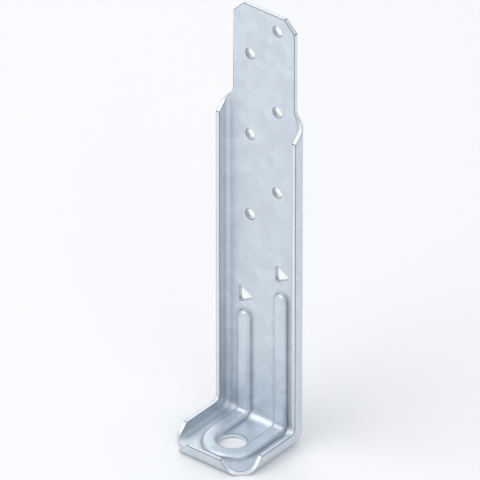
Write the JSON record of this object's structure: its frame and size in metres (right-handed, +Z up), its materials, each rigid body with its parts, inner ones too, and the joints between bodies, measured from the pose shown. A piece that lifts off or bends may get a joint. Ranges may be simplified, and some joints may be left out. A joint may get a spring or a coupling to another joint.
{
  "type": "deck tension tie",
  "caption": "Folded steel deck tension tie: a narrow strap plate with staggered screw holes above a flanged seat whose raised U-shaped bead rings an anchor hole.",
  "frame": {"origin": "on the axis of the anchor hole, at the underside of the seat", "axes": "+X to the right seen from the front, +Y towards the timber that the back of the plate lies against, +Z up the plate and out of the anchor hole's upper end"},
  "size_m": [0.0378, 0.0371, 0.1815],
  "materials": {
    "galvanised_steel": "hot-dip galvanised sheet: satin zinc with a faint spangle, and plain sheared edges"
  },
  "bodies": {
    "root": {"tie_body": "galvanised_steel"}
  },
  "joints": []
}
